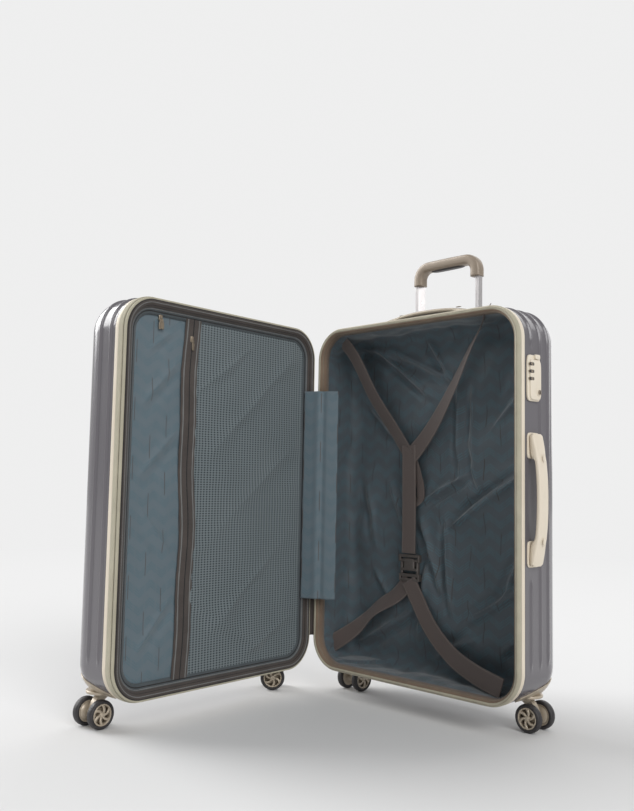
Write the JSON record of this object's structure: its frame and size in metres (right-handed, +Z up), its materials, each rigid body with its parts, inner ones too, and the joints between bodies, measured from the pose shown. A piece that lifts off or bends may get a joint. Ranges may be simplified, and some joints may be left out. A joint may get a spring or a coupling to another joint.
{
  "type": "hard shell suitcase",
  "caption": "Hard shell travel case that opens like a book, with a telescopic trolley handle, carry handles, dial lock, cross straps, a zipped divider and swivelling twin wheels.",
  "frame": {"origin": "middle of the footprint of the open case, on the floor", "axes": "+Z up; +X across the back half from the hinge to its free side; +Y from the mouth into the back half"},
  "size_m": [0.6492, 0.655, 0.893],
  "materials": {
    "shell": "glossy, slightly purple graphite",
    "cream_band": "satin cream",
    "zip_tape_beige": "woven zip tape",
    "zip_tape_taupe": "dark woven zip tape",
    "lining": "chevron lining cloth",
    "mesh": "fine mesh",
    "strap": "woven webbing",
    "tube": "satin anodised",
    "champagne": "satin champagne",
    "cream_plastic": "satin cream",
    "grip_brown": "satin taupe",
    "dark_plastic": "matt",
    "zip_metal": "champagne plated",
    "tyre": "charcoal"
  },
  "bodies": {
    "back_half": {"back_shell": "shell", "back_rim_band": "cream_band", "back_zip_tape": "zip_tape_beige", "back_lining": "lining", "trolley_outer_tube_1": "tube", "trolley_outer_tube_2": "tube", "trolley_bezel": "champagne", "side_handle_base_1": "cream_plastic", "side_handle_base_2": "cream_plastic", "top_handle_base": "champagne", "lock_body": "cream_plastic", "cross_strap_upper": "strap", "cross_strap_lower": "strap", "buckle_socket": "champagne", "hinge_gusset": "lining", "hinge_strip": "zip_tape_taupe", "back_free_housing": "champagne", "back_hinge_housing": "champagne"},
    "trolley": {"trolley_inner_tube_1": "tube", "trolley_inner_tube_2": "tube", "trolley_grip": "grip_brown"},
    "trolley_trigger": {"trolley_button": "dark_plastic"},
    "side_handle": {"side_handle_grip": "cream_plastic"},
    "top_handle": {"top_handle_grip": "grip_brown"},
    "lock_release": {"lock_button": "cream_plastic"},
    "dial_1": {"lock_dial_1": "dark_plastic"},
    "dial_2": {"lock_dial_2": "dark_plastic"},
    "dial_3": {"lock_dial_3": "dark_plastic"},
    "key_plug": {"lock_key_plug": "zip_metal"},
    "buckle_tongue": {"buckle_plug": "champagne"},
    "lid": {"lid_shell": "shell", "lid_rim_band": "cream_band", "lid_expander_band": "zip_tape_beige", "lid_zip_tape": "zip_tape_taupe", "divider_panel": "lining", "mesh_pocket": "mesh", "lid_free_housing": "champagne", "lid_hinge_housing": "champagne"},
    "divider_slider": {"divider_zip_slider": "zip_metal"},
    "pocket_slider": {"pocket_zip_slider": "zip_metal"},
    "back_free_swivel": {"back_free_fork": "champagne"},
    "back_free_wheel_1": {"back_free_hub_1": "champagne", "back_free_tyre_1": "tyre"},
    "back_free_wheel_2": {"back_free_hub_2": "champagne", "back_free_tyre_2": "tyre"},
    "back_hinge_swivel": {"back_hinge_fork": "champagne"},
    "back_hinge_wheel_1": {"back_hinge_hub_1": "champagne", "back_hinge_tyre_1": "tyre"},
    "back_hinge_wheel_2": {"back_hinge_hub_2": "champagne", "back_hinge_tyre_2": "tyre"},
    "lid_free_swivel": {"lid_free_fork": "champagne"},
    "lid_free_wheel_1": {"lid_free_hub_1": "champagne", "lid_free_tyre_1": "tyre"},
    "lid_free_wheel_2": {"lid_free_hub_2": "champagne", "lid_free_tyre_2": "tyre"},
    "lid_hinge_swivel": {"lid_hinge_fork": "champagne"},
    "lid_hinge_wheel_1": {"lid_hinge_hub_1": "champagne", "lid_hinge_tyre_1": "tyre"},
    "lid_hinge_wheel_2": {"lid_hinge_hub_2": "champagne", "lid_hinge_tyre_2": "tyre"}
  },
  "joints": [
    {"name": "lid_hinge", "type": "hinge", "parent": "back_half", "child": "lid", "pos_m": [-0.20471, 0.18251, 0.401], "axis": [0, 0, -1], "range_deg": [-84, 96], "deforming": ["hinge_gusset", "hinge_strip"]},
    {"name": "trolley_slide", "type": "slide", "parent": "back_half", "child": "trolley", "axis": [0, 0, 1], "range_m": [-0.09, 0.2]},
    {"name": "trolley_trigger_press", "type": "slide", "parent": "trolley", "child": "trolley_trigger", "axis": [0, 0, 1], "range_m": [0, 0.003], "stiffness_N_per_m": 400, "springref_m": -0.001},
    {"name": "side_handle_lift", "type": "slide", "parent": "back_half", "child": "side_handle", "axis": [1, 0, 0], "range_m": [0, 0.005], "stiffness_N_per_m": 500, "springref_m": -0.002},
    {"name": "top_handle_lift", "type": "slide", "parent": "back_half", "child": "top_handle", "axis": [0, 0, 1], "range_m": [0, 0.005], "stiffness_N_per_m": 500, "springref_m": -0.002},
    {"name": "lock_release_press", "type": "slide", "parent": "back_half", "child": "lock_release", "axis": [0, 0, -1], "range_m": [0, 0.0035], "stiffness_N_per_m": 300, "springref_m": -0.001},
    {"name": "dial_1_turn", "type": "hinge", "parent": "back_half", "child": "dial_1", "pos_m": [0.30229, 0.21611, 0.644], "axis": [0, 0, 1], "continuous": true},
    {"name": "dial_2_turn", "type": "hinge", "parent": "back_half", "child": "dial_2", "pos_m": [0.30229, 0.21611, 0.631], "axis": [0, 0, 1], "continuous": true},
    {"name": "dial_3_turn", "type": "hinge", "parent": "back_half", "child": "dial_3", "pos_m": [0.30229, 0.21611, 0.618], "axis": [0, 0, 1], "continuous": true},
    {"name": "key_turn", "type": "hinge", "parent": "back_half", "child": "key_plug", "pos_m": [0.30729, 0.23651, 0.595], "axis": [1, 0, 0], "range_deg": [0, 90]},
    {"name": "buckle_release", "type": "slide", "parent": "back_half", "child": "buckle_tongue", "axis": [0, 0, -1], "range_m": [0, 0.035], "deforming": ["cross_strap_lower"]},
    {"name": "divider_zip_run", "type": "slide", "parent": "lid", "child": "divider_slider", "axis": [-0.1045, 0.9945, 0], "range_m": [-0.012, 0.33]},
    {"name": "pocket_zip_run", "type": "slide", "parent": "lid", "child": "pocket_slider", "axis": [0, 0, -1], "range_m": [0, 0.55]},
    {"name": "back_free_swivel_turn", "type": "hinge", "parent": "back_half", "child": "back_free_swivel", "pos_m": [0.25229, 0.27951, 0.052], "axis": [0, 0, 1], "continuous": true},
    {"name": "back_free_wheel_1_spin", "type": "hinge", "parent": "back_free_swivel", "child": "back_free_wheel_1", "pos_m": [0.27129, 0.25901, 0.025], "axis": [0, 1, 0], "continuous": true},
    {"name": "back_free_wheel_2_spin", "type": "hinge", "parent": "back_free_swivel", "child": "back_free_wheel_2", "pos_m": [0.27129, 0.30001, 0.025], "axis": [0, 1, 0], "continuous": true},
    {"name": "back_hinge_swivel_turn", "type": "hinge", "parent": "back_half", "child": "back_hinge_swivel", "pos_m": [-0.15371, 0.27951, 0.052], "axis": [0, 0, 1], "continuous": true},
    {"name": "back_hinge_wheel_1_spin", "type": "hinge", "parent": "back_hinge_swivel", "child": "back_hinge_wheel_1", "pos_m": [-0.17421, 0.26051, 0.025], "axis": [1, 0, 0], "continuous": true},
    {"name": "back_hinge_wheel_2_spin", "type": "hinge", "parent": "back_hinge_swivel", "child": "back_hinge_wheel_2", "pos_m": [-0.13321, 0.26051, 0.025], "axis": [1, 0, 0], "continuous": true},
    {"name": "lid_free_swivel_turn", "type": "hinge", "parent": "lid", "child": "lid_free_swivel", "pos_m": [-0.24446, -0.28119, 0.052], "axis": [0, 0, 1], "continuous": true},
    {"name": "lid_free_wheel_1_spin", "type": "hinge", "parent": "lid_free_swivel", "child": "lid_free_wheel_1", "pos_m": [-0.22209, -0.29794, 0.025], "axis": [-0.9945, -0.1045, 0], "continuous": true},
    {"name": "lid_free_wheel_2_spin", "type": "hinge", "parent": "lid_free_swivel", "child": "lid_free_wheel_2", "pos_m": [-0.26286, -0.30223, 0.025], "axis": [-0.9945, -0.1045, 0], "continuous": true},
    {"name": "lid_hinge_swivel_turn", "type": "hinge", "parent": "lid", "child": "lid_hinge_swivel", "pos_m": [-0.2869, 0.12259, 0.052], "axis": [0, 0, 1], "continuous": true},
    {"name": "lid_hinge_wheel_1_spin", "type": "hinge", "parent": "lid_hinge_swivel", "child": "lid_hinge_wheel_1", "pos_m": [-0.29087, 0.15025, 0.025], "axis": [0.7771, -0.6293, 0], "continuous": true},
    {"name": "lid_hinge_wheel_2_spin", "type": "hinge", "parent": "lid_hinge_swivel", "child": "lid_hinge_wheel_2", "pos_m": [-0.25901, 0.12445, 0.025], "axis": [0.7771, -0.6293, 0], "continuous": true}
  ]
}
